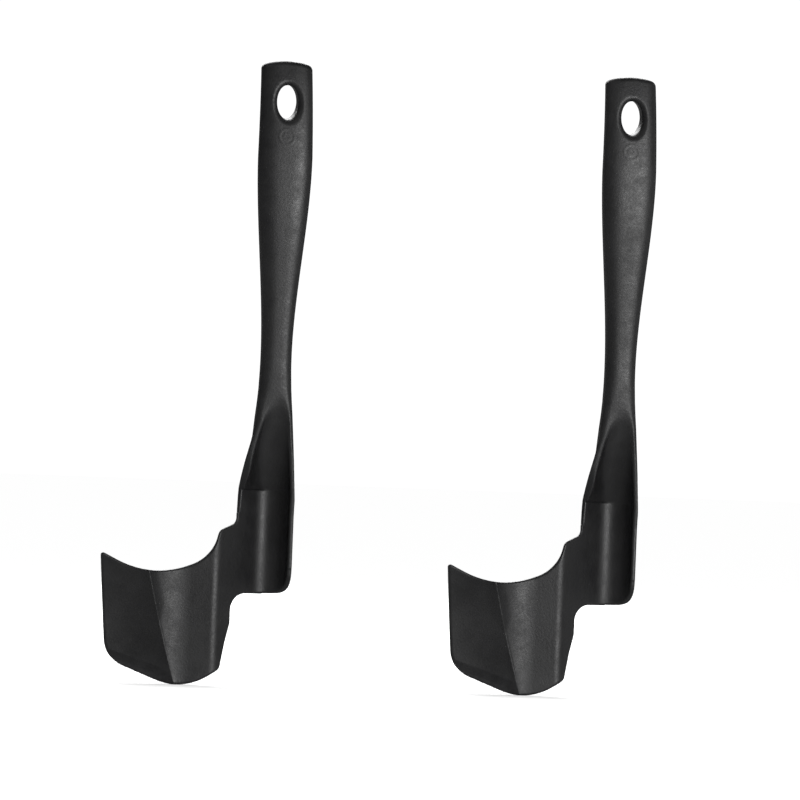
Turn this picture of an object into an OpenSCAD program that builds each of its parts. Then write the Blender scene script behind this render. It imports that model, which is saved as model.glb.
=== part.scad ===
// A pair of rotary bowl spatulas. Each is one moulding: a flat oval handle with a hanging eye, a half-round
// channel that turns on a mixer's spindle, and a curved wing whose edges sweep the bowl's wall and floor.
// +Z is up along the channel and +Y points to the back. The origin is on the first channel's axis, at its foot.

/* [Pair] */
// Distance between the two channel axes
pair_pitch = 147.5; // [110:0.5:200]

/* [Handle] */
// Height of the handle's tip above the channel's foot
handle_top = 222.7; // [215:0.1:232]
// Half width of the neck
neck_half_w = 6.4; // [5.5:0.1:8]
// Half width of the grip
grip_half_w = 11.4; // [10.5:0.1:13]
// Half thickness of the neck
neck_half_t = 4.8; // [4:0.1:5.5]
// Half thickness at the handle's tip
tip_half_t = 4.2; // [3.8:0.1:5]
// Extra half thickness of the palm swell
swell = 0.9; // [0:0.1:1.5]
// Strength of the grip's bow towards the front
bow = 26; // [0:1:34]

/* [Hanging eye] */
// Width of the eye's throat
eye_w = 9; // [7:0.1:10]
// Height of the eye's throat
eye_h = 13.9; // [12:0.1:17]
// Height of the eye's centre above the channel's foot
eye_z = 205.7; // [200:0.1:208]
// Radius of the eye's rounded mouths
eye_mouth_r = 2.6; // [1:0.1:2.8]

/* [Channel] */
// Radius of the spindle seat
seat_r = 8.5; // [7.5:0.1:9.5]
// Height of the seat's straight wall
seat_len = 43.5; // [38:0.5:48]
// Wall thickness of the channel and the wing
wall = 2; // [1.6:0.1:2.4]
// Angle of the tangent wall from the plane of the handle
tangent_angle = 38; // [34:1:42]
// Radius of the rounded foot of the channel's free lip
lip_foot_r = 11; // [9:0.5:12]

/* [Wing] */
// Length of the flat wall that runs from the channel to the wing
flat_len = 19; // [17:0.5:21]
// Radius of the bend at the wing's root
root_bend_r = 5; // [4:0.5:6]
// Radius of the wing's hollow
hollow_r = 32; // [28:1:36]
// Backward slope of the outer panel at the crease
panel_slope = 0.36; // [0.3:0.01:0.42]
// Height of the bevelled lip under the outer panel
bevel_h = 5.5; // [4:0.1:7]

/* [Hidden] */
plastic = [0.05, 0.05, 0.055];
tiny = 0.1;
round_sides = 96;
// Half of the depth of the blocks that the front outline is cut from.
block_half = 40;

// The handle's sections run from below the neck to above the tip.
neck_z = 100;
neck_y = -1.5;
grip_z = 183;
bow_start = 95;
// Share of the handle's length, past which the bow has turned back to the rear.
bow_return = 0.943;
handle_foot = 78;
section_power = 3;
section_points = 40;
handle_step = 5.8;
handle_overrun = 6;
tip_taper = 0.018;
neck_flare = 0.0018;

// The plan curve is a chain of [length, turn] pieces, from the channel's free lip to the wing's hollow.
lip_angle = -3;
mid_r = seat_r + wall / 2;
hollow_heading = 6;
hollow_run_out = 12;
seat_turn = 90 + tangent_angle - lip_angle;
root_turn = tangent_angle + hollow_heading;
hollow_turn = 38;
root_flat = 8;
chain = [
    [mid_r * seat_turn * PI / 180, seat_turn],
    [flat_len, 0],
    [root_bend_r * root_turn * PI / 180, -root_turn],
    [root_flat, 0],
    [hollow_r * hollow_turn * PI / 180, hollow_turn],
    [hollow_run_out, 0]
];
chain_start = [mid_r * cos(lip_angle), mid_r * sin(lip_angle), 90 + lip_angle];
hollow_start = chain[0][0] + chain[1][0] + chain[2][0] + chain[3][0];

// The crease leans: its distance along the hollow grows with height.
crease_at_foot = 17.8;
crease_rate = 0.3;
panel_hollow_r = 75;
panel_reach = 74;
sheet_bottom = -41;
sheet_top = 33;
// The flare's two lowest sections as [height, first step round the channel, length of flat wall].
flare_levels = [[sheet_top, 0.6, 9.4], [44, 3, 7.9]];
flare_level_h = 4;
flare_inset = 0.02;
flare_front = [seat_r - 1, -0.9, 0];
// The flare ends inside two of the neck's sections, which are drawn a little smaller.
neck_sections = [86, 90];
neck_shrink = 0.98;
sheet_rows = 20;
// Steps round the channel, along the root bend, along the hollow and along the outer panel.
seat_steps = 20;
root_steps = 6;
hollow_steps = 8;
panel_steps = 8;
// Spare thickness inside the seat's blank, because the true seat is bored later.
bore_allowance = 0.4;

// The trough's mouth reaches past the flat wall's edge above the wing, and narrows where the ramp starts.
mouth_left = -16;
mouth_front = -16;
mouth_foot = 27;
mouth_step = 8;
ramp_left = -12.4;

// The trough above the seat climbs to its apex on the front of the neck.
apex_z = 80;
apex_x = 1.2;
apex_y = -6.4;
apex_r = 5.2;
apex_sides = 32;

// The bevel's upper edge falls towards the crease. Below it the panel thins from the front.
bevel_start = [-64, -30.9 + bevel_h];
bevel_fall = 0.33;
bevel_depth_rate = 0.3;
bevel_fade = 4;
thinnest = 1;

// Corners of the front outline as [x, z, radius].
outline_corners = [
    [-71.7, 16.1, 1],
    [-67.3, -28.7, 13],
    [-35.5, -41.3, 24],
    [-19.4, -31.6, 3],
    [-17.2, -20.5, 8],
    [-15, -12.5, 1],
    [-15, 0, 7],
    [13, 0, 0],
    [13.5, 205, 0],
    [11.1, 213, 0],
    [11.1, handle_top - 1.7, 2],
    [0, handle_top + 1.3, 34],
    [-11.1, handle_top - 1.7, 2],
    [-11.1, 213, 0],
    [-13.5, 205, 0],
    [-14.2, 60, 0],
    [-13.5, 29.6, 3],
    [-21.7, 26.2, 3.5],
    [-24.5, 15.1, 17],
    [-49.2, 5, 38]
];

// Smooth step from 0 to 1.
function ease(t) = let (c = min(1, max(0, t))) c * c * (3 - 2 * c);

// Half width, half thickness and forward offset of the handle at a height.
function handle_half_w(z) =
    z < neck_z ? neck_half_w + neck_flare * pow(neck_z - z, 2)
    : neck_half_w + (grip_half_w - neck_half_w) * ease((z - neck_z) / (grip_z - neck_z))
        - tip_taper * max(0, z - grip_z);
function along_handle(z) = max(0, (z - bow_start) / (handle_top - bow_start));
function handle_half_t(z) = let (s = along_handle(z))
    neck_half_t + (tip_half_t - neck_half_t) * s + swell * sin(180 * min(1, s));
function handle_y(z) = let (s = along_handle(z)) neck_y + bow * s * s * (s - bow_return);
function handle_lean(z) = atan((handle_y(z + 1) - handle_y(z - 1)) / 2);

// A flat oval ring of the handle.
function oval(z) = [
    for (i = [0 : section_points - 1])
        let (a = 360 * i / section_points, c = cos(a), s = sin(a), p = 2 / section_power)
        [
            handle_half_w(z) * sign(c) * pow(abs(c), p),
            handle_y(z) + handle_half_t(z) * sign(s) * pow(abs(s), p),
            z
        ]
];

function shrunk_oval(z) = [for (p = oval(z)) [p[0] * neck_shrink, neck_y + (p[1] - neck_y) * neck_shrink, z]];

// [x, y, heading] after walking a distance along one piece of the chain.
function piece_end(p, piece, d) =
    piece[1] == 0 ? [p[0] + d * cos(p[2]), p[1] + d * sin(p[2]), p[2]]
    : let (r = piece[0] / (piece[1] * PI / 180), h = p[2] + piece[1] * d / piece[0])
        [p[0] + r * (sin(h) - sin(p[2])), p[1] - r * (cos(h) - cos(p[2])), h];

// [x, y, heading] at a distance along the whole chain.
function walk(d, p = chain_start, i = 0) =
    i == len(chain) - 1 || d <= chain[i][0] ? piece_end(p, chain[i], d)
    : walk(d - chain[i][0], piece_end(p, chain[i], chain[i][0]), i + 1);

// The outer panel leaves the crease and bends back towards the viewer.
function crease(z) = walk(hollow_start + crease_at_foot + crease_rate * z);
function panel(e, z) = let (c = crease(z))
    [
        c[0] - e,
        c[1] + panel_slope * e - e * e / (2 * panel_hollow_r),
        180 - atan(panel_slope - e / panel_hollow_r)
    ];

// The crease's own point heads halfway between the hollow and the panel, and is mitred.
function crease_point(z) = let (h = crease(z)[2], g = panel(0, z)[2])
    [crease(z)[0], crease(z)[1], (h + g) / 2, 1 / cos((h - g) / 2)];

// Middle line of the sheet at a height: channel, flat wall, root bend, hollow, crease, then the outer panel.
function middle(z) = concat(
    [for (i = [0 : seat_steps]) walk(chain[0][0] * i / seat_steps)],
    [for (i = [0 : root_steps]) walk(chain[0][0] + flat_len + chain[2][0] * i / root_steps)],
    [for (i = [0 : hollow_steps - 1])
        walk(hollow_start + (crease_at_foot + crease_rate * z) * i / hollow_steps)],
    [crease_point(z)],
    [for (i = [1 : panel_steps]) panel(i * (panel_reach + crease(z)[0]) / panel_steps, z)]
);

// A middle point moved across the sheet, to the front side when d is positive.
function across(m, d, z) = let (k = len(m) > 3 ? m[3] * d : d)
    [m[0] - k * sin(m[2]), m[1] + k * cos(m[2]), z];

// How much the bevel takes off the front of the outer panel, fading out at the crease.
function bevel_cut(x, z) = let (below = bevel_start[1] - bevel_fall * (x - bevel_start[0]) - z)
    min(wall - thinnest, bevel_depth_rate * max(0, below)) * min(1, max(0, (crease(z)[0] - x) / bevel_fade));

// One closed ring round the sheet.
function sheet_ring(z) = let (m = middle(z), last = len(m) - 1) concat(
    [for (i = [0 : last]) across(m[i], -wall / 2, z)],
    [for (i = [last : -1 : 0])
        across(m[i], wall / 2 - bevel_cut(m[i][0], z) + (i <= seat_steps ? bore_allowance : 0), z)]
);

// Points of an arc that rounds the corner b between a and c.
function rounded_corner(a, b, c, r) =
    r == 0 ? [[b[0], b[1]]]
    : let (
        u = [a[0] - b[0], a[1] - b[1]] / norm([a[0] - b[0], a[1] - b[1]]),
        v = [c[0] - b[0], c[1] - b[1]] / norm([c[0] - b[0], c[1] - b[1]]),
        half = acos(u * v) / 2,
        centre = [b[0], b[1]] + (u + v) / norm(u + v) * r / sin(half),
        from = [b[0], b[1]] + u * r / tan(half) - centre,
        to = [b[0], b[1]] + v * r / tan(half) - centre,
        start = atan2(from[1], from[0]),
        raw = atan2(to[1], to[0]) - start,
        turn = raw > 180 ? raw - 360 : raw < -180 ? raw + 360 : raw,
        steps = max(3, round(abs(turn) / 9))
    )
        [for (i = [0 : steps]) centre + r * [cos(start + turn * i / steps), sin(start + turn * i / steps)]];
function rounded_outline(corners) = let (n = len(corners)) [
    for (i = [0 : n - 1])
        each rounded_corner(corners[(i + n - 1) % n], corners[i], corners[(i + 1) % n], corners[i][2])
];

// A closed skin over rings with the same number of points, each listed anticlockwise from above.
module skin(rings) {
    n = len(rings[0]);
    last = len(rings) - 1;
    polyhedron(
        points = [for (r = rings) each r],
        faces = concat(
            [[for (i = [0 : n - 1]) i]],
            [for (k = [0 : last - 1], i = [0 : n - 1])
                [k * n + i, (k + 1) * n + (i + 1) % n, k * n + (i + 1) % n]],
            [for (k = [0 : last - 1], i = [0 : n - 1])
                [k * n + i, (k + 1) * n + i, (k + 1) * n + (i + 1) % n]],
            [[for (i = [n - 1 : -1 : 0]) last * n + i]]
        )
    );
}

// The whole front outline, as a block that runs from front to back.
module outline_block() {
    rotate([90, 0, 0])
        translate([0, 0, -block_half])
            linear_extrude(2 * block_half)
                polygon(rounded_outline(outline_corners));
}

module handle_blank() {
    skin([for (z = [handle_foot : handle_step : handle_top + handle_overrun]) oval(z)]);
}

// The channel's round back and part of its flat wall, closed across the front.
function flare_section(first, edge) =
    let (skin_t = wall / 2 - flare_inset, lip = walk(chain[0][0] + edge)) concat(
    [for (i = [first : seat_steps]) across(walk(chain[0][0] * i / seat_steps), -skin_t, 0)],
    [across(lip, -skin_t, 0), across(lip, skin_t, 0), flare_front]
);

// The oval neck swells into the channel's round back and its flat wall.
module neck_blank() {
    hull() {
        for (level = flare_levels)
            translate([0, 0, level[0] - flare_level_h])
                linear_extrude(flare_level_h)
                    polygon([for (p = flare_section(level[1], level[2])) [p[0], p[1]]]);
        skin([for (z = neck_sections) shrunk_oval(z)]);
    }
}

module sheet_blank() {
    skin([for (k = [0 : sheet_rows]) sheet_ring(sheet_bottom + (sheet_top - sheet_bottom) * k / sheet_rows)]);
}

// Everything in front of the flat wall, between the two lips of the trough.
module trough_mouth(left, right, r) {
    edge = [for (a = [0 : mouth_step : 90 + tangent_angle]) r * [cos(a), sin(a)]];
    tangent = r * [cos(90 + tangent_angle), sin(90 + tangent_angle)];
    run = (tangent[0] - left) / cos(tangent_angle);
    polygon(concat(
        edge,
        [tangent, [left, tangent[1] - run * sin(tangent_angle)], [left, mouth_front], [right, mouth_front]]
    ));
}

// The trough's mouth above the wing, and the ramp that climbs from it to the front of the neck.
module trough() {
    translate([0, 0, mouth_foot])
        linear_extrude(seat_len - mouth_foot)
            trough_mouth(mouth_left, seat_r - tiny, seat_r - tiny);
    hull() {
        translate([0, 0, seat_len - 1])
            linear_extrude(1)
                trough_mouth(ramp_left, seat_r - 2 * tiny, seat_r - 2 * tiny);
        translate([apex_x, apex_y - apex_r, apex_z])
            cylinder(r = apex_r, h = tiny, $fn = apex_sides);
    }
}

// Rounds the foot of the channel's free lip, as seen from the side.
module lip_foot_cut() {
    reach = 20;
    centre_y = lip_foot_r - 0.5;
    difference() {
        translate([0, -reach, -1])
            cube([reach, reach + centre_y, lip_foot_r + 1]);
        translate([-1, centre_y, lip_foot_r])
            rotate([0, 90, 0])
                cylinder(r = lip_foot_r, h = reach + 2, $fn = round_sides);
    }
}

// An oval hole with rounded mouths, square to the leaning face of the handle.
module hanging_eye() {
    reach = handle_half_t(eye_z);
    overrun = 3;
    throat = reach - eye_mouth_r;
    steps = 5;
    stations = concat([-reach - overrun], [for (k = [0 : steps]) -throat - eye_mouth_r * cos(90 * k / steps)],
        [for (k = [steps : -1 : 0]) throat + eye_mouth_r * cos(90 * k / steps)], [reach + overrun]);
    translate([0, handle_y(eye_z), eye_z])
        rotate([90 - handle_lean(eye_z), 0, 0])
            skin([
                for (y = stations)
                    let (d = min(eye_mouth_r, max(0, abs(y) - throat)),
                         grow = eye_mouth_r - sqrt(eye_mouth_r * eye_mouth_r - d * d))
                    [for (a = [0 : 10 : 350]) [(eye_w / 2 + grow) * cos(a), (eye_h / 2 + grow) * sin(a), y]]
            ]);
}

// The moulding before its seat is bored. A resize by nothing joins it all as one skin.
module moulding() {
    resize([0, 0, 0])
        difference() {
            intersection() {
                union() {
                    handle_blank();
                    neck_blank();
                    sheet_blank();
                }
                outline_block();
            }
            trough();
            lip_foot_cut();
            hanging_eye();
        }
}

module spatula() {
    color(plastic)
        difference() {
            moulding();
            translate([0, 0, -1])
                cylinder(r = seat_r, h = seat_len + 1, $fn = round_sides);
        }
}

module left_spatula() {
    spatula();
}

module right_spatula() {
    translate([pair_pitch, 0, 0])
        spatula();
}

left_spatula();
right_spatula();
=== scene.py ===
"""A pair of black rotary bowl spatulas, side by side.

Each one is a single moulding. It is described here as a signed distance in millimetres, by the same sizes as
the CAD part, so that every edge, crease and mouth has its own soft radius. The distance is sampled near its
surface and turned into an even quad mesh, which is then pulled onto the exact surface. +Z is up along the
channel, -Y faces the viewer and the origin is on the left channel's axis at its foot.
"""

import math

import bpy
import numpy as np
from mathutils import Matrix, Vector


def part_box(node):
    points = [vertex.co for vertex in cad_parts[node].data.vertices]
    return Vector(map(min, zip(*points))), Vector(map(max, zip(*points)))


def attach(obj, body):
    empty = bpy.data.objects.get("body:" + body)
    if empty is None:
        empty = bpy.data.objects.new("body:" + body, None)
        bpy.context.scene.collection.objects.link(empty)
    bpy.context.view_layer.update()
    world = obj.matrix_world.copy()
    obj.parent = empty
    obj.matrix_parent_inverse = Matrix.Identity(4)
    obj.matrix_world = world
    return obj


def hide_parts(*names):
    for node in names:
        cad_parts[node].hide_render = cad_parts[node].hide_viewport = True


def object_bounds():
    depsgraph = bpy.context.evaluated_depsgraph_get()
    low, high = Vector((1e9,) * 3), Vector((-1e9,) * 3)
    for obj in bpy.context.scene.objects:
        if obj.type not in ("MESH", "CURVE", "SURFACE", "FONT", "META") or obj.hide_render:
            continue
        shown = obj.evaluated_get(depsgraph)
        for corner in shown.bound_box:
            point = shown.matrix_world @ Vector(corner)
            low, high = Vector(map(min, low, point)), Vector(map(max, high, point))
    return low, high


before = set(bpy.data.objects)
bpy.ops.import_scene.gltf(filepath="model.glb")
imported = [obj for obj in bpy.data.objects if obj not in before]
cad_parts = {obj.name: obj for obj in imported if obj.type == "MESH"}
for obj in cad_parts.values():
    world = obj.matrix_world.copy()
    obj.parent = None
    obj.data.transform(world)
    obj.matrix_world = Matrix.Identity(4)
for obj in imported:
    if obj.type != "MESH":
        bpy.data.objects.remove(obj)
CAD_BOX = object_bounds()
MM = 0.001

# Handle, in millimetres. Sizes repeat those of the CAD part.
HANDLE_TOP = 222.7
NECK_HALF_W, GRIP_HALF_W = 6.4, 11.4
NECK_HALF_T, TIP_HALF_T, SWELL = 4.8, 4.2, 0.9
NECK_Z, GRIP_Z, NECK_Y = 100.0, 183.0, -1.5
BOW, BOW_START, BOW_RETURN = 26.0, 95.0, 0.943
NECK_FLARE, NECK_FLARE_H, TIP_TAPER = 0.0018, 16.0, 0.018
SECTION_POWER = 3.0
TIP_CROWN_R = 34.0

# Hanging eye.
EYE_W, EYE_H, EYE_Z, EYE_MOUTH_R = 9.0, 13.9, 205.7, 2.6

# Channel, and the flare that joins it to the neck.
SEAT_R, SEAT_TOP, WALL = 8.5, 43.5, 2.0
OUTER_R = SEAT_R + WALL
TANGENT_ANGLE, LIP_ANGLE = 38.0, -3.0
LIP_FOOT_R, LIP_FRONT_Y = 11.0, -0.5

# The flare, as (channel's value, neck's value) and the heights between which each one changes.
FLARE_Z, OUTER_HALF_W, CORNER_R = (40.0, 86.0), (OUTER_R, 6.86), (OUTER_R, 4.3)
BACK_Z, BACK_Y = (44.0, 86.0), (OUTER_R, 3.3)
TURN_Z, WALL_ANGLE = (43.5, 72.0), (TANGENT_ANGLE, 90.0)
REACH_Z, WALL_REACH = (33.0, 65.0), (9.4, 6.6)
FRONT_Z, FRONT_Y = (33.0, 86.0), (-0.55, -6.3)
FRONT_CORNER_Z, FRONT_CORNER_R = (56.0, 86.0), (0.6, 3.4)
LEFT_RIM, RIGHT_RIM = 2.6, 1.1

# Ramp above the seat, which climbs to its apex on the front of the neck.
APEX_Z, APEX_Y = 83.5, -6.3
RAMP_STEEPNESS = (0.3, 0.00175)
RAMP_TURN_Z, RAMP_OVERLAP, RAMP_EDGE_R = (43.5, 58.0), 1.0, 1.5
RAMP_TOP_SHIFT, RAMP_TOP_SHIFT_Z = 2.1, (62.0, 80.0)
RAMP_FOOT_SHIFT, RAMP_FOOT_SHIFT_Z = -0.8, (43.5, 55.5)
NECK_BLEND_Z, HOLLOW_TOP = (74.0, 96.0), 90.0

# Plan curve from the channel's free lip to the wing's hollow, as (length, turn) pieces.
FLAT_LEN, ROOT_BEND_R, ROOT_FLAT, HOLLOW_R, HOLLOW_TURN = 19.0, 5.0, 8.0, 32.0, 38.0
HOLLOW_HEADING, HOLLOW_RUN_OUT = 6.0, 12.0
MID_R = SEAT_R + WALL / 2
CHAIN = [
    (MID_R * math.radians(90 + TANGENT_ANGLE - LIP_ANGLE), 90 + TANGENT_ANGLE - LIP_ANGLE),
    (FLAT_LEN, 0),
    (ROOT_BEND_R * math.radians(TANGENT_ANGLE + HOLLOW_HEADING), -(TANGENT_ANGLE + HOLLOW_HEADING)),
    (ROOT_FLAT, 0),
    (HOLLOW_R * math.radians(HOLLOW_TURN), HOLLOW_TURN),
    (HOLLOW_RUN_OUT, 0),
]

# Crease and outer panel of the wing.
CREASE_AT_FOOT, CREASE_RATE = 17.8, 0.3
PANEL_SLOPE, PANEL_HOLLOW_R, PANEL_LEAN = 0.36, 75.0, 0.14
CREASE_RIGHT_LIMIT, SHEET_RIGHT_LIMIT, SHEET_TOP, WING_ZONE_TOP = -25.0, -4.0, 34.0, 62.0
BEVEL_START, BEVEL_FALL, BEVEL_DEPTH_RATE, BEVEL_FADE, THINNEST = (-64.0, -25.4), 0.33, 0.3, 4.0, 1.0

# Corners of the wing's front outline as (x, z, radius).
OUTLINE = [
    (-71.7, 16.1, 1),
    (-67.3, -28.7, 13),
    (-35.5, -41.3, 24),
    (-19.4, -31.6, 3),
    (-17.2, -20.5, 8),
    (-15, -12.5, 1),
    (-15, 0, 7),
    (30, 0, 0),
    (30, 80, 0),
    (-14.6, 80, 0),
    (-13.5, 29.6, 3),
    (-21.7, 26.2, 3.5),
    (-24.5, 15.1, 17),
    (-49.2, 5, 38),
]

# Faint round marks of the mould on the front, as (x, z, radius, depth).
MOULD_MARKS = [(-0.4, 191.0, 3.2, 0.08), (-0.4, 191.0, 1.3, 0.06), (3.4, 30.5, 2.2, 0.04)]
MARK_WIDTH, FRONT_SIDE_Y = 0.45, 9.0

# Soft radii of the edges.
RIM_R, LIP_R, TIP_R = 0.85, 0.8, 1.7
CREASE_R, CREASE_TOP_R, CREASE_SOFTENS_Z = 0.7, 3.6, (-12.0, -5.0)


# A distance too great to matter.
FAR = 99.0


# Distance helpers.

def ease(t):
    """Smooth step from 0 to 1 as t goes from 0 to 1."""
    t = np.clip(t, 0, 1)
    return t * t * (3 - 2 * t)


def eased(z, heights):
    """Smooth step from 0 at the first height to 1 at the second."""
    return ease((z - heights[0]) / (heights[1] - heights[0]))


def between(values, heights, z):
    """Straight change from the first value to the second, between two heights."""
    t = np.clip((z - heights[0]) / (heights[1] - heights[0]), 0, 1)
    return values[0] + (values[1] - values[0]) * t


def both(a, b, r):
    """The inside of a and of b, with the shared edge rounded to radius r."""
    corner = np.hypot(np.maximum(a + r, 0), np.maximum(b + r, 0))
    return np.minimum(np.maximum(a, b), -r) + corner


def without(a, b, r):
    """The inside of a that is outside b, with the cut's edge rounded to radius r."""
    return both(a, -b, r)


def oval(x, y, a, b, power):
    """Distance to a flat oval with half sizes a and b, exact to first order near its edge."""
    u, v = np.abs(x) / a, np.abs(y) / b
    g = np.maximum((u ** power + v ** power) ** (1 / power), 1e-3)
    slope = np.hypot((u / g) ** (power - 1) / a, (v / g) ** (power - 1) / b)
    return (g - 1) / np.maximum(slope, 1e-3)


def corner_points(a, b, c, r):
    """Points of the arc that rounds the corner b between a and c."""
    if not r:
        return [b]
    u, v = (a - b) / np.linalg.norm(a - b), (c - b) / np.linalg.norm(c - b)
    half = math.acos(float(u @ v)) / 2
    centre = b + (u + v) / np.linalg.norm(u + v) * r / math.sin(half)
    start = b + u * r / math.tan(half) - centre
    end = b + v * r / math.tan(half) - centre
    a0 = math.atan2(start[1], start[0])
    turn = (math.atan2(end[1], end[0]) - a0 + math.pi) % (2 * math.pi) - math.pi
    steps = max(4, round(abs(turn) / 0.07))
    angles = a0 + turn * np.arange(steps + 1) / steps
    return [centre + r * np.array([math.cos(t), math.sin(t)]) for t in angles]


def rounded_outline(corners):
    """Closed outline of corners given as (x, z, radius)."""
    points = [np.array(c[:2], float) for c in corners]
    out = []
    for i, corner in enumerate(corners):
        out += corner_points(points[i - 1], points[i], points[(i + 1) % len(points)], corner[2])
    return np.array(out)


def polygon_distance(px, py, polygon):
    """Signed distance to a closed polygon, negative inside."""
    best = np.full(px.shape, FAR * FAR)
    inside = np.zeros(px.shape, bool)
    for (ax, ay), (bx, by) in zip(polygon, np.roll(polygon, -1, axis=0)):
        ex, ey = bx - ax, by - ay
        wx, wy = px - ax, py - ay
        t = np.clip((wx * ex + wy * ey) / (ex * ex + ey * ey), 0, 1)
        best = np.minimum(best, (wx - ex * t) ** 2 + (wy - ey * t) ** 2)
        if ay != by:
            inside ^= ((ay > py) != (by > py)) & (wx < ex * wy / ey)
    return np.where(inside, -1, 1) * np.sqrt(best)


WING_OUTLINE = rounded_outline(OUTLINE)


# The plan curve.

def piece_end(pose, piece, d):
    """Pose (x, y, heading in degrees) after walking d along one piece."""
    x, y, h = pose
    length, turn = piece
    if not turn:
        return x + d * math.cos(math.radians(h)), y + d * math.sin(math.radians(h)), h
    r = length / math.radians(turn)
    g = h + turn * d / length
    return (x + r * (math.sin(math.radians(g)) - math.sin(math.radians(h))),
            y - r * (math.cos(math.radians(g)) - math.cos(math.radians(h))), g)


def chain_poses():
    """Pose at the start of each piece of the plan curve, and at its end."""
    lip = math.radians(LIP_ANGLE)
    poses = [(MID_R * math.cos(lip), MID_R * math.sin(lip), 90 + LIP_ANGLE)]
    for piece in CHAIN:
        poses.append(piece_end(poses[-1], piece, piece[0]))
    return poses


POSES = chain_poses()


def plan_distance(x, y):
    """Signed distance from the plan curve, positive on the front side."""
    best = np.full(x.shape, FAR)
    signed = np.zeros(x.shape)
    for i, (pose, (length, turn)) in enumerate(zip(POSES, CHAIN)):
        px, py, h = pose
        c, s = math.cos(math.radians(h)), math.sin(math.radians(h))
        if turn:
            r = length / math.radians(turn)
            cx, cy = px - r * s, py + r * c
            radius = np.hypot(x - cx, y - cy)
            side = math.copysign(1, r)
            offset = side * (abs(r) - radius)
            start = math.atan2(py - cy, px - cx)
            angle = (np.arctan2(y - cy, x - cx) - start) * side
            middle = abs(math.radians(turn)) / 2
            angle = (angle - middle + math.pi) % (2 * math.pi) - math.pi
            over = np.maximum(np.abs(angle) - middle, 0) * abs(r)
        else:
            along = (x - px) * c + (y - py) * s
            offset = -(x - px) * s + (y - py) * c
            high = along - (length if i < len(CHAIN) - 1 else FAR)
            over = np.maximum(np.maximum(-along, high), 0)
        d = np.hypot(offset, over)
        nearer = d < best
        best = np.where(nearer, d, best)
        signed = np.where(nearer, offset, signed)
    return signed


def crease_xy(z):
    """Plan position of the crease, which leans: it starts further along the hollow as z grows."""
    d = CREASE_AT_FOOT + CREASE_RATE * z
    length = CHAIN[4][0]
    px, py, h = POSES[4]
    r = HOLLOW_R
    g = np.radians(h) + np.clip(d, None, length) / r
    x = px + r * (np.sin(g) - math.sin(math.radians(h)))
    y = py - r * (np.cos(g) - math.cos(math.radians(h)))
    beyond = np.maximum(d - length, 0)
    return x + beyond * np.cos(g), y + beyond * np.sin(g)


# The moulding's parts.

def grip_centre_y(z):
    """Depth of the handle's middle, which bows forward and comes partly back."""
    s = np.maximum(0, (z - BOW_START) / (HANDLE_TOP - BOW_START))
    return NECK_Y + BOW * s * s * (s - BOW_RETURN)


def handle(x, y, z):
    """The flat oval neck and grip, endless at both ends."""
    s = np.maximum(0, (z - BOW_START) / (HANDLE_TOP - BOW_START))
    half_t = NECK_HALF_T + (TIP_HALF_T - NECK_HALF_T) * s + SWELL * np.sin(np.pi * np.minimum(1, s))
    flare = NECK_FLARE * np.clip(NECK_Z - z, 0, NECK_FLARE_H) ** 2
    grip = (GRIP_HALF_W - NECK_HALF_W) * eased(z, (NECK_Z, GRIP_Z))
    half_w = NECK_HALF_W + flare + grip - TIP_TAPER * np.maximum(0, z - GRIP_Z)
    return oval(x, y - grip_centre_y(z), half_w, half_t, SECTION_POWER)


def tip(x, z):
    """Below the crowned end of the handle."""
    centre = HANDLE_TOP - TIP_CROWN_R
    return np.where(z > centre, np.hypot(x, z - centre) - TIP_CROWN_R, -TIP_CROWN_R)


def wall_frame(x, y, angle):
    """How far a point is along a left wall that leans out by an angle, and how far behind it."""
    c, s = np.cos(np.radians(angle)), np.sin(np.radians(angle))
    return -x * c - y * s, -x * s + y * c


def cradle(x, y, left, right, r, angle):
    """Distance outside a back with two round corners of radius r, centred at left and right on y = 0.

    The left wall runs off at an angle, and the right wall runs straight forward.
    """
    along, behind = wall_frame(x - left, y, angle)
    flat = np.maximum(np.maximum(behind, y), x - right)
    flat = np.where((along <= 0) & (x <= left), np.hypot(x - left, y), flat)
    return np.where((y > 0) & (x > right), np.hypot(x - right, y), flat) - r


def flare_frame(z):
    """Corner radius, the corner centres' distance from the axis and their depth, and the left wall's angle."""
    corner = between(CORNER_R, FLARE_Z, z)
    reach = between(OUTER_HALF_W, FLARE_Z, z) - corner
    return corner, reach, between(BACK_Y, BACK_Z, z) - corner, between(WALL_ANGLE, TURN_Z, z)


def flare_block(x, y, z):
    """Channel and flare, closed across the front."""
    corner, reach, depth, angle = flare_frame(z)
    block = cradle(x, y - depth, -reach, reach, corner, angle)
    front_r = between(FRONT_CORNER_R, FRONT_CORNER_Z, z)
    block = both(block, between(FRONT_Y, FRONT_Z, z) - y, front_r)
    return both(block, wall_frame(x, y, angle)[0] - between(WALL_REACH, REACH_Z, z), front_r)


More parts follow.
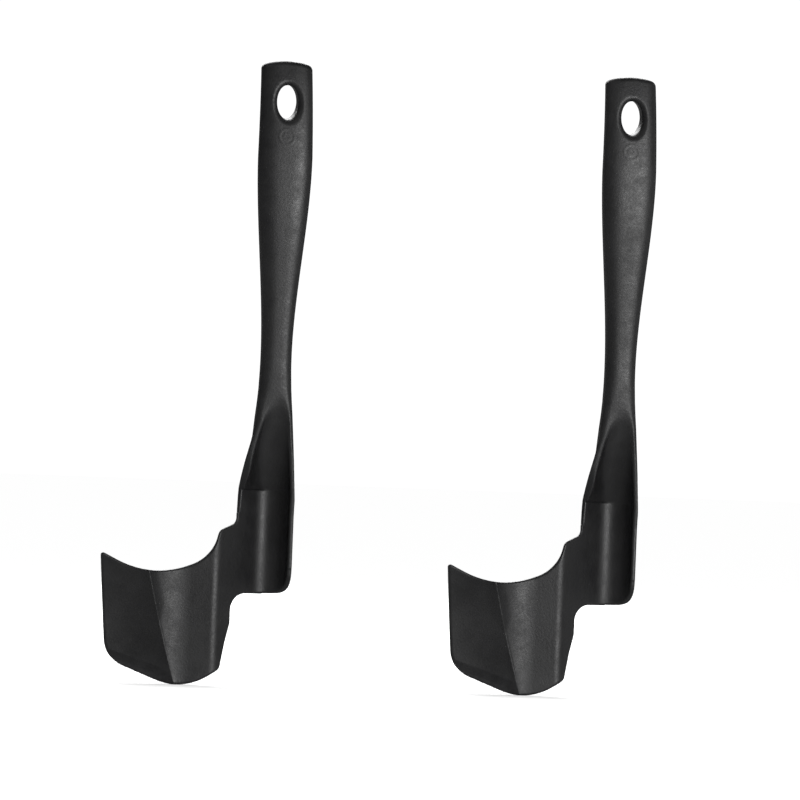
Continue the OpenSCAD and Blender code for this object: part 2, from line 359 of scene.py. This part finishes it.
def hollow_of_channel(x, y, z):
    """The seat, open to the front, and above it the round-bottomed ramp, whose side walls stay thin."""
    below = np.clip(APEX_Z - z, APEX_Z - HOLLOW_TOP, APEX_Z - SEAT_TOP)
    floor = APEX_Y + RAMP_STEEPNESS[0] * below + RAMP_STEEPNESS[1] * below * np.maximum(below, 0)
    middle = RAMP_TOP_SHIFT * eased(z, RAMP_TOP_SHIFT_Z) + RAMP_FOOT_SHIFT * eased(z, RAMP_FOOT_SHIFT_Z)
    ramp = cradle(x - middle, y - floor + SEAT_R, 0, 0, SEAT_R, between(WALL_ANGLE, RAMP_TURN_Z, z))
    corner, reach, depth, angle = flare_frame(z)
    left = wall_frame(x + reach, y - depth, angle)[1] - corner + LEFT_RIM
    right = x - reach - corner + RIGHT_RIM
    ramp = both(ramp, np.maximum(left, right), RAMP_EDGE_R)
    seat = np.maximum(cradle(x, y, 0, 0, SEAT_R, TANGENT_ANGLE), z - SEAT_TOP)
    return np.minimum(seat, np.maximum(ramp, SEAT_TOP - RAMP_OVERLAP - z))


def stem(x, y, z):
    """Channel, flare, neck and grip as one body, with its trough cut out."""
    t = eased(z, NECK_BLEND_Z)
    body = flare_block(x, y, z) * (1 - t) + handle(x, y, z) * t
    body = without(body, np.where(z < HOLLOW_TOP, hollow_of_channel(x, y, z), FAR), LIP_R)
    return both(body, tip(x, z), TIP_R)


def wing_sheet(x, y, z):
    """The thin wall that carries on from the flat, through the hollow and the crease, to the outer panel."""
    plan = plan_distance(x, y)
    cx, cy = crease_xy(z)
    e = cx - x
    panel_y = cy + PANEL_SLOPE * e - e * e / (2 * PANEL_HOLLOW_R)
    tilt = np.sqrt(1 + (PANEL_SLOPE - e / PANEL_HOLLOW_R) ** 2 + PANEL_LEAN ** 2)
    panel = (panel_y - y) / tilt
    k = between((CREASE_R, CREASE_TOP_R), CREASE_SOFTENS_Z, z)
    blend = np.maximum(k - np.abs(plan - panel), 0)
    front = np.maximum(plan, panel) - blend * blend / (4 * k)
    front = np.where(x > CREASE_RIGHT_LIMIT, plan, front)
    below = BEVEL_START[1] - BEVEL_FALL * (x - BEVEL_START[0]) - z
    bevel = np.clip(BEVEL_DEPTH_RATE * below, 0, WALL - THINNEST) * np.clip(e / BEVEL_FADE, 0, 1)
    sheet = np.maximum(front + bevel, -front) - WALL / 2
    return np.maximum(np.maximum(sheet, x - SHEET_RIGHT_LIMIT), z - SHEET_TOP)


def lip_foot(x, y, z):
    """Distance outside the round that takes off the free lip's foot, seen from the side."""
    cy, cz = LIP_FRONT_Y + LIP_FOOT_R, LIP_FOOT_R
    round_part = np.hypot(y - cy, z - cz) - LIP_FOOT_R
    return np.where((y < cy) & (z < cz) & (x > 0), round_part, -FAR)


def eye(x, y, z):
    """The oval hole, square to the leaning face of the handle."""
    slope = float((grip_centre_y(EYE_Z + 1) - grip_centre_y(EYE_Z - 1)) / 2)
    across = (z - EYE_Z) - slope * (y - grip_centre_y(EYE_Z))
    across = across / math.sqrt(1 + slope * slope)
    return oval(x, across, EYE_W / 2, EYE_H / 2, 2.0)


def mould_marks(x, y, z):
    """Height of the thin rings that the mould leaves on the front."""
    height = np.zeros(x.shape)
    for mx, mz, r, depth in MOULD_MARKS:
        off = np.abs(np.hypot(x - mx, z - mz) - r) / MARK_WIDTH
        height += depth * ease(1 - off)
    return np.where(y < FRONT_SIDE_Y, height, 0)


def spatula(x, y, z):
    """Signed distance of the whole moulding."""
    low = z < WING_ZONE_TOP
    wing = np.full(x.shape, FAR)
    wing[low] = wing_sheet(x[low], y[low], z[low])
    solid = np.minimum(stem(x, y, z), wing)
    edge = np.full(x.shape, -FAR)
    edge[low] = polygon_distance(x[low], z[low], WING_OUTLINE)
    solid = both(solid, edge, RIM_R)
    solid = both(solid, lip_foot(x, y, z), LIP_R) - mould_marks(x, y, z)
    return without(solid, eye(x, y, z), EYE_MOUTH_R)


# Turning the distance into a mesh.

GRID_STEP, DRAFT_STEP = 0.45, 0.7
GRID_LOW, GRID_HIGH = np.array([-74.0, -18.0, -42.0]), np.array([14.0, 14.0, 226.0])
COARSE_RATIO, NEAR_CELLS, BATCH = 4, 1.8, 400000
RELAX_ROUNDS, RELAX_SHARE = 3, 0.6


def sample(low, high, step):
    """Distances on an even grid. Only cells near the surface are sampled finely."""
    ratio = COARSE_RATIO
    coarse = step * ratio
    counts = np.ceil((high - low) / coarse).astype(int)
    axes = [low[i] + coarse * np.arange(counts[i] + 1) for i in range(3)]
    gx, gy, gz = np.meshgrid(*axes, indexing="ij")
    rough = spatula(gx.ravel(), gy.ravel(), gz.ravel()).reshape(gx.shape)
    fine = np.repeat(np.repeat(np.repeat(rough, ratio, 0), ratio, 1), ratio, 2)
    fine = np.where(fine > 0, FAR, -FAR)
    near = np.argwhere(np.abs(rough) < coarse * NEAR_CELLS)
    around = np.arange(-ratio // 2, ratio // 2 + 1)
    offsets = np.stack(np.meshgrid(around, around, around, indexing="ij"), -1).reshape(-1, 3)
    limits = np.array(fine.shape) - 1
    cells = np.unique(np.clip(near[:, None] * ratio + offsets, 0, limits).reshape(-1, 3), axis=0)
    points = low + cells * step
    batches = np.array_split(points, max(1, len(points) // BATCH))
    fine[tuple(cells.T)] = np.concatenate([spatula(*batch.T) for batch in batches])
    return fine


def surface_net(values, low, step):
    """Vertices and quads of the zero surface: one vertex per crossed cell, one quad per crossed edge."""
    inside = values < 0
    shape = np.array(values.shape) - 1
    corner_steps = np.array([[i, j, k] for i in (0, 1) for j in (0, 1) for k in (0, 1)])
    count = np.zeros(shape, int)
    for i, j, k in corner_steps:
        count += inside[i:i + shape[0], j:j + shape[1], k:k + shape[2]]
    cells = np.argwhere((count > 0) & (count < 8))
    index = np.full(shape, -1)
    index[tuple(cells.T)] = np.arange(len(cells))
    total = np.zeros((len(cells), 3))
    crossings = np.zeros(len(cells))
    for a in corner_steps:
        for axis in range(3):
            if a[axis]:
                continue
            b = a.copy()
            b[axis] = 1
            va = values[tuple((cells + a).T)]
            vb = values[tuple((cells + b).T)]
            crossed = (va < 0) != (vb < 0)
            t = np.where(crossed, va / np.where(crossed, va - vb, 1), 0)
            total += np.where(crossed[:, None], a + t[:, None] * (b - a), 0)
            crossings += crossed
    vertices = low + (cells + total / crossings[:, None]) * step
    quads = []
    for axis in range(3):
        u, v = (axis + 1) % 3, (axis + 2) % 3
        first = [slice(1, -1)] * 3
        second = [slice(1, -1)] * 3
        first[axis], second[axis] = slice(0, -1), slice(1, None)
        a, b = inside[tuple(first)], inside[tuple(second)]
        for mask, flip in ((a & ~b, False), (~a & b, True)):
            base = np.argwhere(mask)
            for n in range(3):
                if n != axis:
                    base[:, n] += 1
            ring = []
            for du, dv in ((1, 1), (0, 1), (0, 0), (1, 0)):
                cell = base.copy()
                cell[:, u] -= du
                cell[:, v] -= dv
                ring.append(index[tuple(cell.T)])
            ring = np.stack(ring, 1)
            quads.append(ring[:, ::-1] if flip else ring)
    return vertices, np.concatenate(quads)


def gradient(p, h=0.04):
    """Slope of the distance, from points h to each side."""
    out = np.empty_like(p)
    for axis in range(3):
        step = np.zeros(3)
        step[axis] = h
        out[:, axis] = (spatula(*(p + step).T) - spatula(*(p - step).T)) / (2 * h)
    return out


def pulled(p, limit):
    """Points moved onto the zero surface along the distance's slope."""
    g = gradient(p)
    move = -spatula(*p.T)[:, None] * g / np.maximum((g * g).sum(1), 0.05)[:, None]
    size = np.linalg.norm(move, axis=1, keepdims=True)
    return p + move * np.minimum(1, limit / np.maximum(size, 1e-9)), g


def relaxed(p, quads, g, share):
    """Points moved part of the way to their neighbours' mean, along the surface only."""
    total, count = np.zeros_like(p), np.zeros(len(p))
    for i in range(4):
        a, b = quads[:, i], quads[:, (i + 1) % 4]
        for n in range(3):
            total[:, n] += np.bincount(a, p[b, n], len(p))
        count += np.bincount(a, minlength=len(p))
    move = total / count[:, None] - p
    normal = g / np.maximum(np.linalg.norm(g, axis=1, keepdims=True), 1e-9)
    return p + share * (move - (move * normal).sum(1, keepdims=True) * normal)


def spatula_mesh(name):
    """Mesh of one moulding, in the left one's place."""
    step = GRID_STEP
    points, quads = surface_net(sample(GRID_LOW, GRID_HIGH, step), GRID_LOW, step)
    for _ in range(RELAX_ROUNDS):
        points, g = pulled(points, step)
        points = relaxed(points, quads, g, RELAX_SHARE)
    points, _ = pulled(points, step)
    mesh = bpy.data.meshes.new(name)
    mesh.from_pydata((points * MM).tolist(), [], quads.tolist())
    mesh.update()
    mesh.shade_smooth()
    return mesh


# Materials. Heights in them are in metres, up from the channel's foot.

PLASTIC_DARK, PLASTIC_LIGHT = (0.0055, 0.0055, 0.006, 1), (0.0085, 0.0085, 0.009, 1)
# Painted light: the lowest part of the wing is painted a lighter grey, in place of the floor's light on its
# down-facing bevel.
PLASTIC_PAINTED_FLOOR_LIGHT, PAINTED_LIGHT_STARTS, PAINTED_LIGHT_FULL = (0.013, 0.013, 0.014, 1), -0.026, -0.036
GRAIN_DEPTH, GRAIN_STRENGTH = 0.00006, 0.9
FLOOR_SEEN, FLOOR_IN_GLOSS = (0.9, 0.9, 0.9, 1), (0.15, 0.15, 0.15, 1)


def moulded_plastic():
    """Black moulded plastic: a fine grain, faint flow marks, and a foot painted a lighter grey in patches, as
    painted light from the floor below.
    """
    material = bpy.data.materials.new("black_moulded_plastic")
    material.use_nodes = True
    nodes, links = material.node_tree.nodes, material.node_tree.links
    shader = nodes["Principled BSDF"]
    shader.inputs["IOR"].default_value = 1.5
    shader.inputs["Specular IOR Level"].default_value = 0.5
    place = nodes.new("ShaderNodeTexCoord")

    def noise(scale, detail, roughness=0.55):
        node = nodes.new("ShaderNodeTexNoise")
        node.inputs["Scale"].default_value = scale
        node.inputs["Detail"].default_value = detail
        node.inputs["Roughness"].default_value = roughness
        links.new(place.outputs["Object"], node.inputs["Vector"])
        return node.outputs["Fac"]

    def ramp(value, low, high, a, b):
        node = nodes.new("ShaderNodeMapRange")
        links.new(value, node.inputs["Value"])
        for key, number in (("From Min", low), ("From Max", high), ("To Min", a), ("To Max", b)):
            node.inputs[key].default_value = number
        return node.outputs["Result"]

    def math_node(kind, a, b):
        node = nodes.new("ShaderNodeMath")
        node.operation = kind
        for socket, value in zip(node.inputs, (a, b)):
            if isinstance(value, (int, float)):
                socket.default_value = value
            else:
                links.new(value, socket)
        return node.outputs[0]

    cloud = noise(60, 4)
    grain = noise(1100, 2)
    pores = noise(3600, 1)
    patch_noise = noise(240, 3, 0.65)

    colour = nodes.new("ShaderNodeMix")
    colour.data_type = "RGBA"
    colour.inputs["A"].default_value = PLASTIC_DARK
    colour.inputs["B"].default_value = PLASTIC_LIGHT
    links.new(ramp(cloud, 0.35, 0.68, 0, 1), colour.inputs["Factor"])
    split = nodes.new("ShaderNodeSeparateXYZ")
    links.new(place.outputs["Object"], split.inputs["Vector"])
    # Painted light from the floor: below these heights the colour fades to the lighter grey, broken into
    # patches by noise.
    low_down = ramp(split.outputs["Z"], PAINTED_LIGHT_STARTS, PAINTED_LIGHT_FULL, 0, 1)
    painted_floor_light = math_node("MULTIPLY", low_down, ramp(patch_noise, 0.3, 0.6, 0.4, 1))
    floor_light_mix = nodes.new("ShaderNodeMix")
    floor_light_mix.data_type = "RGBA"
    floor_light_mix.inputs["B"].default_value = PLASTIC_PAINTED_FLOOR_LIGHT
    links.new(colour.outputs["Result"], floor_light_mix.inputs["A"])
    links.new(painted_floor_light, floor_light_mix.inputs["Factor"])
    links.new(floor_light_mix.outputs["Result"], shader.inputs["Base Color"])

    rough = math_node("ADD", ramp(cloud, 0.3, 0.7, 0.39, 0.48), ramp(patch_noise, 0.42, 0.75, 0.0, 0.08))
    links.new(math_node("ADD", rough, ramp(grain, 0.3, 0.7, -0.04, 0.04)), shader.inputs["Roughness"])

    relief = math_node("ADD", math_node("MULTIPLY", grain, 1.0), math_node("MULTIPLY", pores, 0.35))
    bump = nodes.new("ShaderNodeBump")
    bump.inputs["Strength"].default_value = GRAIN_STRENGTH
    bump.inputs["Distance"].default_value = GRAIN_DEPTH
    links.new(relief, bump.inputs["Height"])
    links.new(bump.outputs["Normal"], shader.inputs["Normal"])
    return material


def floor_material():
    """Pale, and darker in reflections, so that the plastic keeps its dark undersides."""
    material = bpy.data.materials.new("pale_floor")
    material.use_nodes = True
    nodes, links = material.node_tree.nodes, material.node_tree.links
    shader = nodes["Principled BSDF"]
    shader.inputs["Roughness"].default_value = 0.9
    shader.inputs["Specular IOR Level"].default_value = 0.0
    ray = nodes.new("ShaderNodeLightPath")
    mix = nodes.new("ShaderNodeMix")
    mix.data_type = "RGBA"
    mix.inputs["A"].default_value = FLOOR_SEEN
    mix.inputs["B"].default_value = FLOOR_IN_GLOSS
    links.new(ray.outputs["Is Glossy Ray"], mix.inputs["Factor"])
    links.new(mix.outputs["Result"], shader.inputs["Base Color"])
    return material


# Build.

def add_spatulas():
    """The left moulding, and its copy where the frame has the right one."""
    mesh = spatula_mesh("spatula")
    mesh.materials.append(moulded_plastic())
    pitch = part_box("right_spatula")[0][0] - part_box("left_spatula")[0][0]
    for side, node in (("left", "left_spatula"), ("right", "right_spatula")):
        own = mesh if side == "left" else mesh.copy()
        piece = bpy.data.objects.new(side + "_moulding", own)
        bpy.context.scene.collection.objects.link(piece)
        if side == "right":
            for vertex in own.vertices:
                vertex.co.x += pitch
        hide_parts(node)
        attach(piece, node)


FLOOR_Z, FLOOR_HALF = CAD_BOX[0][2], 8.0


def add_floor():
    """A wide floor under the lowest point of the row."""
    mesh = bpy.data.meshes.new("floor")
    sides = ((-1, -1), (1, -1), (1, 1), (-1, 1))
    corners = [(a * FLOOR_HALF, b * FLOOR_HALF, FLOOR_Z) for a, b in sides]
    mesh.from_pydata(corners, [], [(0, 1, 2, 3)])
    mesh.materials.append(floor_material())
    plane = bpy.data.objects.new("floor", mesh)
    bpy.context.scene.collection.objects.link(plane)


# Camera, from the front and a little to the left, on a long lens. In metres and degrees, but for the sensor.
VIEW_AZIMUTH, VIEW_ROLL, VIEW_DISTANCE = 11.9, 2.24, 3.5
VIEW_WIDTH, SENSOR_WIDTH, CLIP_END = 0.3339, 36, 60
AIM_ACROSS, AIM_UP = 0.0527, 0.0833


def across_view(right, up, back):
    """A point in the row's frame from its place in the view's own directions."""
    a = math.radians(VIEW_AZIMUTH)
    return (right * math.cos(a) + back * math.sin(a), -right * math.sin(a) + back * math.cos(a), up)


def add_camera():
    data = bpy.data.cameras.new("camera")
    data.sensor_width = SENSOR_WIDTH
    data.lens = SENSOR_WIDTH * VIEW_DISTANCE / VIEW_WIDTH
    data.clip_end = CLIP_END
    camera = bpy.data.objects.new("camera", data)
    camera.location = across_view(AIM_ACROSS, AIM_UP, -VIEW_DISTANCE)
    camera.rotation_mode = "XYZ"
    camera.rotation_euler = (math.radians(90), math.radians(-VIEW_ROLL), math.radians(-VIEW_AZIMUTH))
    bpy.context.scene.collection.objects.link(camera)
    bpy.context.scene.camera = camera


# Soft boxes as (name, azimuth, height above the row's middle, distance, size, watts).
LIGHTS = [
    ("key_strip", 36, -0.12, 1.5, (0.26, 1.15), 25),
    ("soft_top", -25, 1.6, 1.2, (1.4, 1.4), 2),
    ("right_fill", 100, 0.1, 1.6, (0.9, 1.2), 1.6),
    ("back_soft", 190, 1.0, 1.3, (1.2, 1.2), 28),
]
ROW_MIDDLE = np.array([0.07, 0.0, 0.09])
WORLD_SEEN, WORLD_ON_FLOOR, WORLD_IN_GLOSS = 1.05, 1.1, 0.04


def add_light(name, azimuth, height, distance, size, power):
    """A soft box that faces the pair; azimuth is counted from the viewer towards the right."""
    data = bpy.data.lights.new(name, "AREA")
    data.shape = "RECTANGLE"
    data.size, data.size_y = size
    data.energy = power
    lamp = bpy.data.objects.new(name, data)
    a = math.radians(azimuth - VIEW_AZIMUTH)
    lamp.location = ROW_MIDDLE + np.array([math.sin(a) * distance, -math.cos(a) * distance, height])
    aim = ROW_MIDDLE - np.array(lamp.location)
    lamp.rotation_euler = (math.atan2(math.hypot(aim[0], aim[1]), -aim[2]), 0, math.atan2(-aim[0], aim[1]))
    bpy.context.scene.collection.objects.link(lamp)


def add_world():
    """White to the eye and on the floor, and dim in reflections, like a bright sweep in a dark room."""
    world = bpy.data.worlds.new("studio")
    world.use_nodes = True
    nodes, links = world.node_tree.nodes, world.node_tree.links
    background = nodes["Background"]
    ray = nodes.new("ShaderNodeLightPath")

    def choose(condition, no, yes):
        mix = nodes.new("ShaderNodeMix")
        mix.data_type = "FLOAT"
        links.new(ray.outputs[condition], mix.inputs["Factor"])
        mix.inputs["B"].default_value = yes
        if isinstance(no, float):
            mix.inputs["A"].default_value = no
        else:
            links.new(no, mix.inputs["A"])
        return mix.outputs["Result"]

    strength = choose("Is Camera Ray", choose("Is Glossy Ray", WORLD_ON_FLOOR, WORLD_IN_GLOSS), WORLD_SEEN)
    links.new(strength, background.inputs["Strength"])
    background.inputs["Color"].default_value = (1, 1, 1, 1)
    world.cycles.sampling_method = "NONE"
    bpy.context.scene.world = world


add_camera()
add_spatulas()
add_floor()
for light in LIGHTS:
    add_light(*light)
add_world()
bpy.context.scene.view_settings.view_transform = "Standard"
